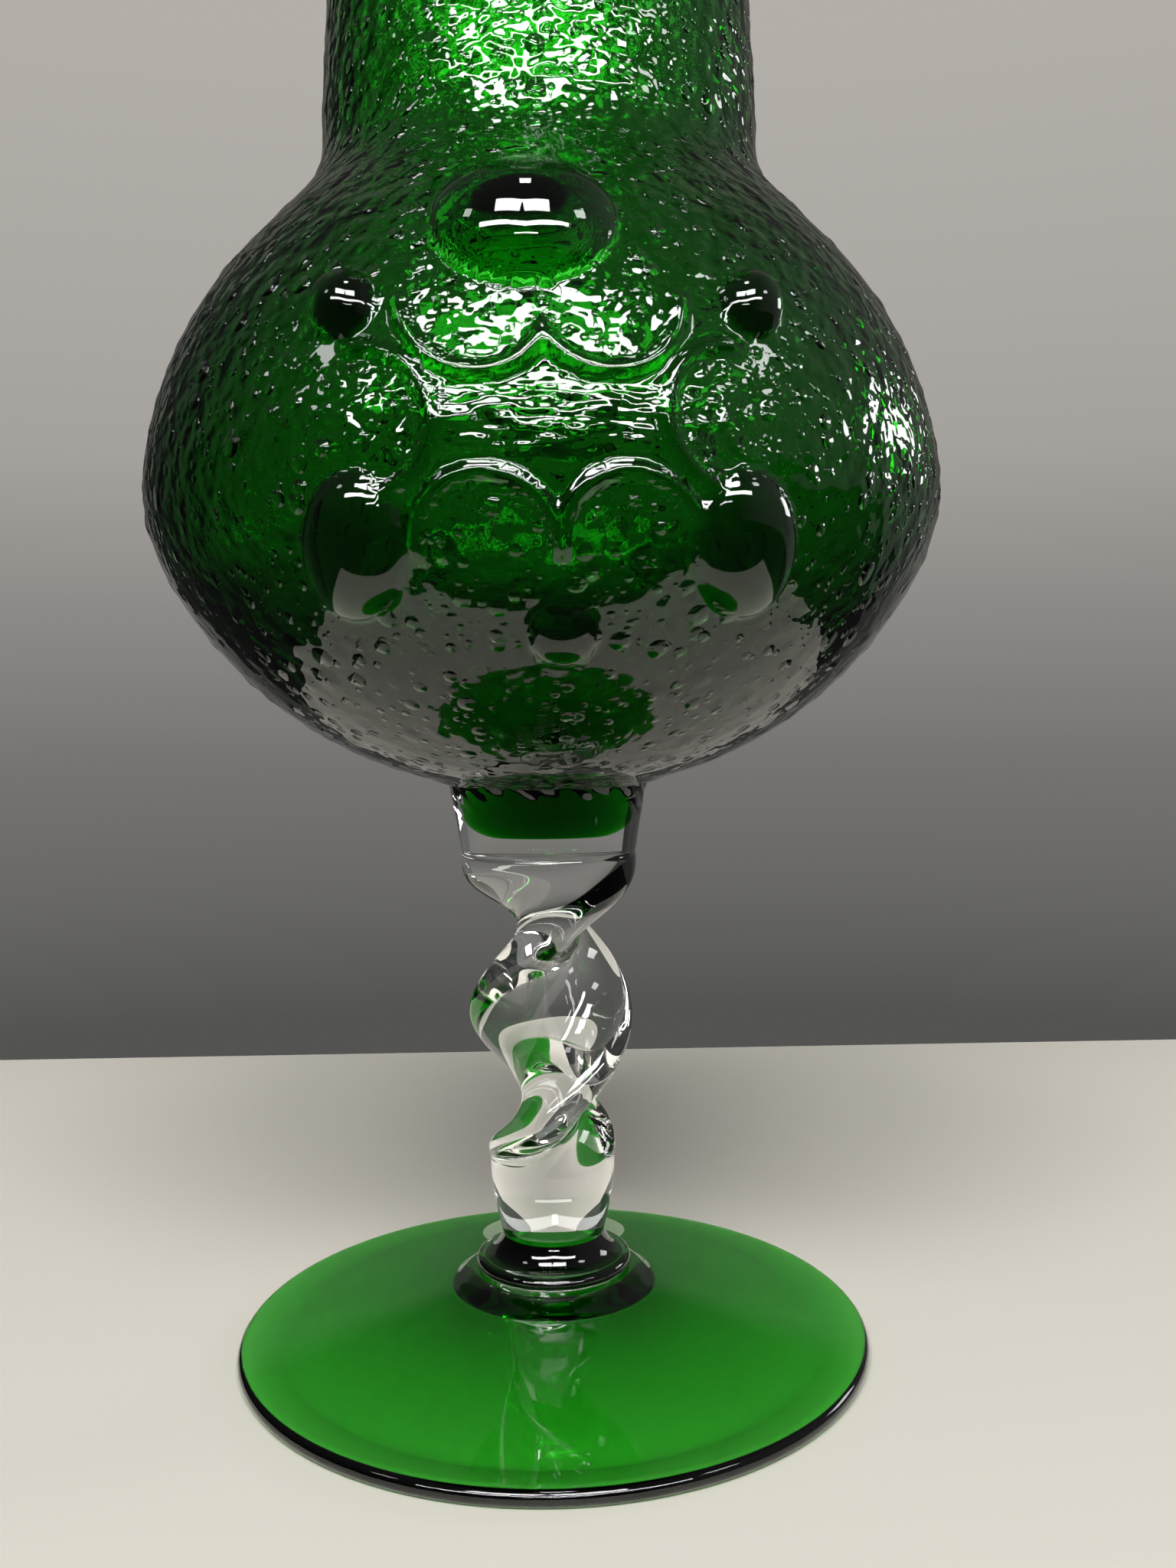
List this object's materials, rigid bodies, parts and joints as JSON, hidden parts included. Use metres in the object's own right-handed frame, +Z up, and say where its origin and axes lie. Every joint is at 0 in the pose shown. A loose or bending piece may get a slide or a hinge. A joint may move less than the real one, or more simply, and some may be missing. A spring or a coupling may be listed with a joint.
{
  "type": "footed glass vase",
  "caption": "Footed vase: moulded green glass bowl with open neck, on a clear right-hand twisted stem with collar and button, over a green conical foot.",
  "frame": {"origin": "centre of the foot's resting plane, under the vase's axis", "axes": "+Z up along the vase's axis; -Y is the front, where an ornament of the bowl faces"},
  "size_m": [0.1808, 0.1834, 0.3784],
  "materials": {
    "green_glass": "polished, deep green, pebbled where moulded",
    "clear_glass": "fire polished, colourless"
  },
  "bodies": {
    "root": {"foot": "green_glass", "lower_merese": "clear_glass", "twisted_stem": "clear_glass", "collar": "clear_glass", "bowl": "green_glass"}
  },
  "joints": []
}
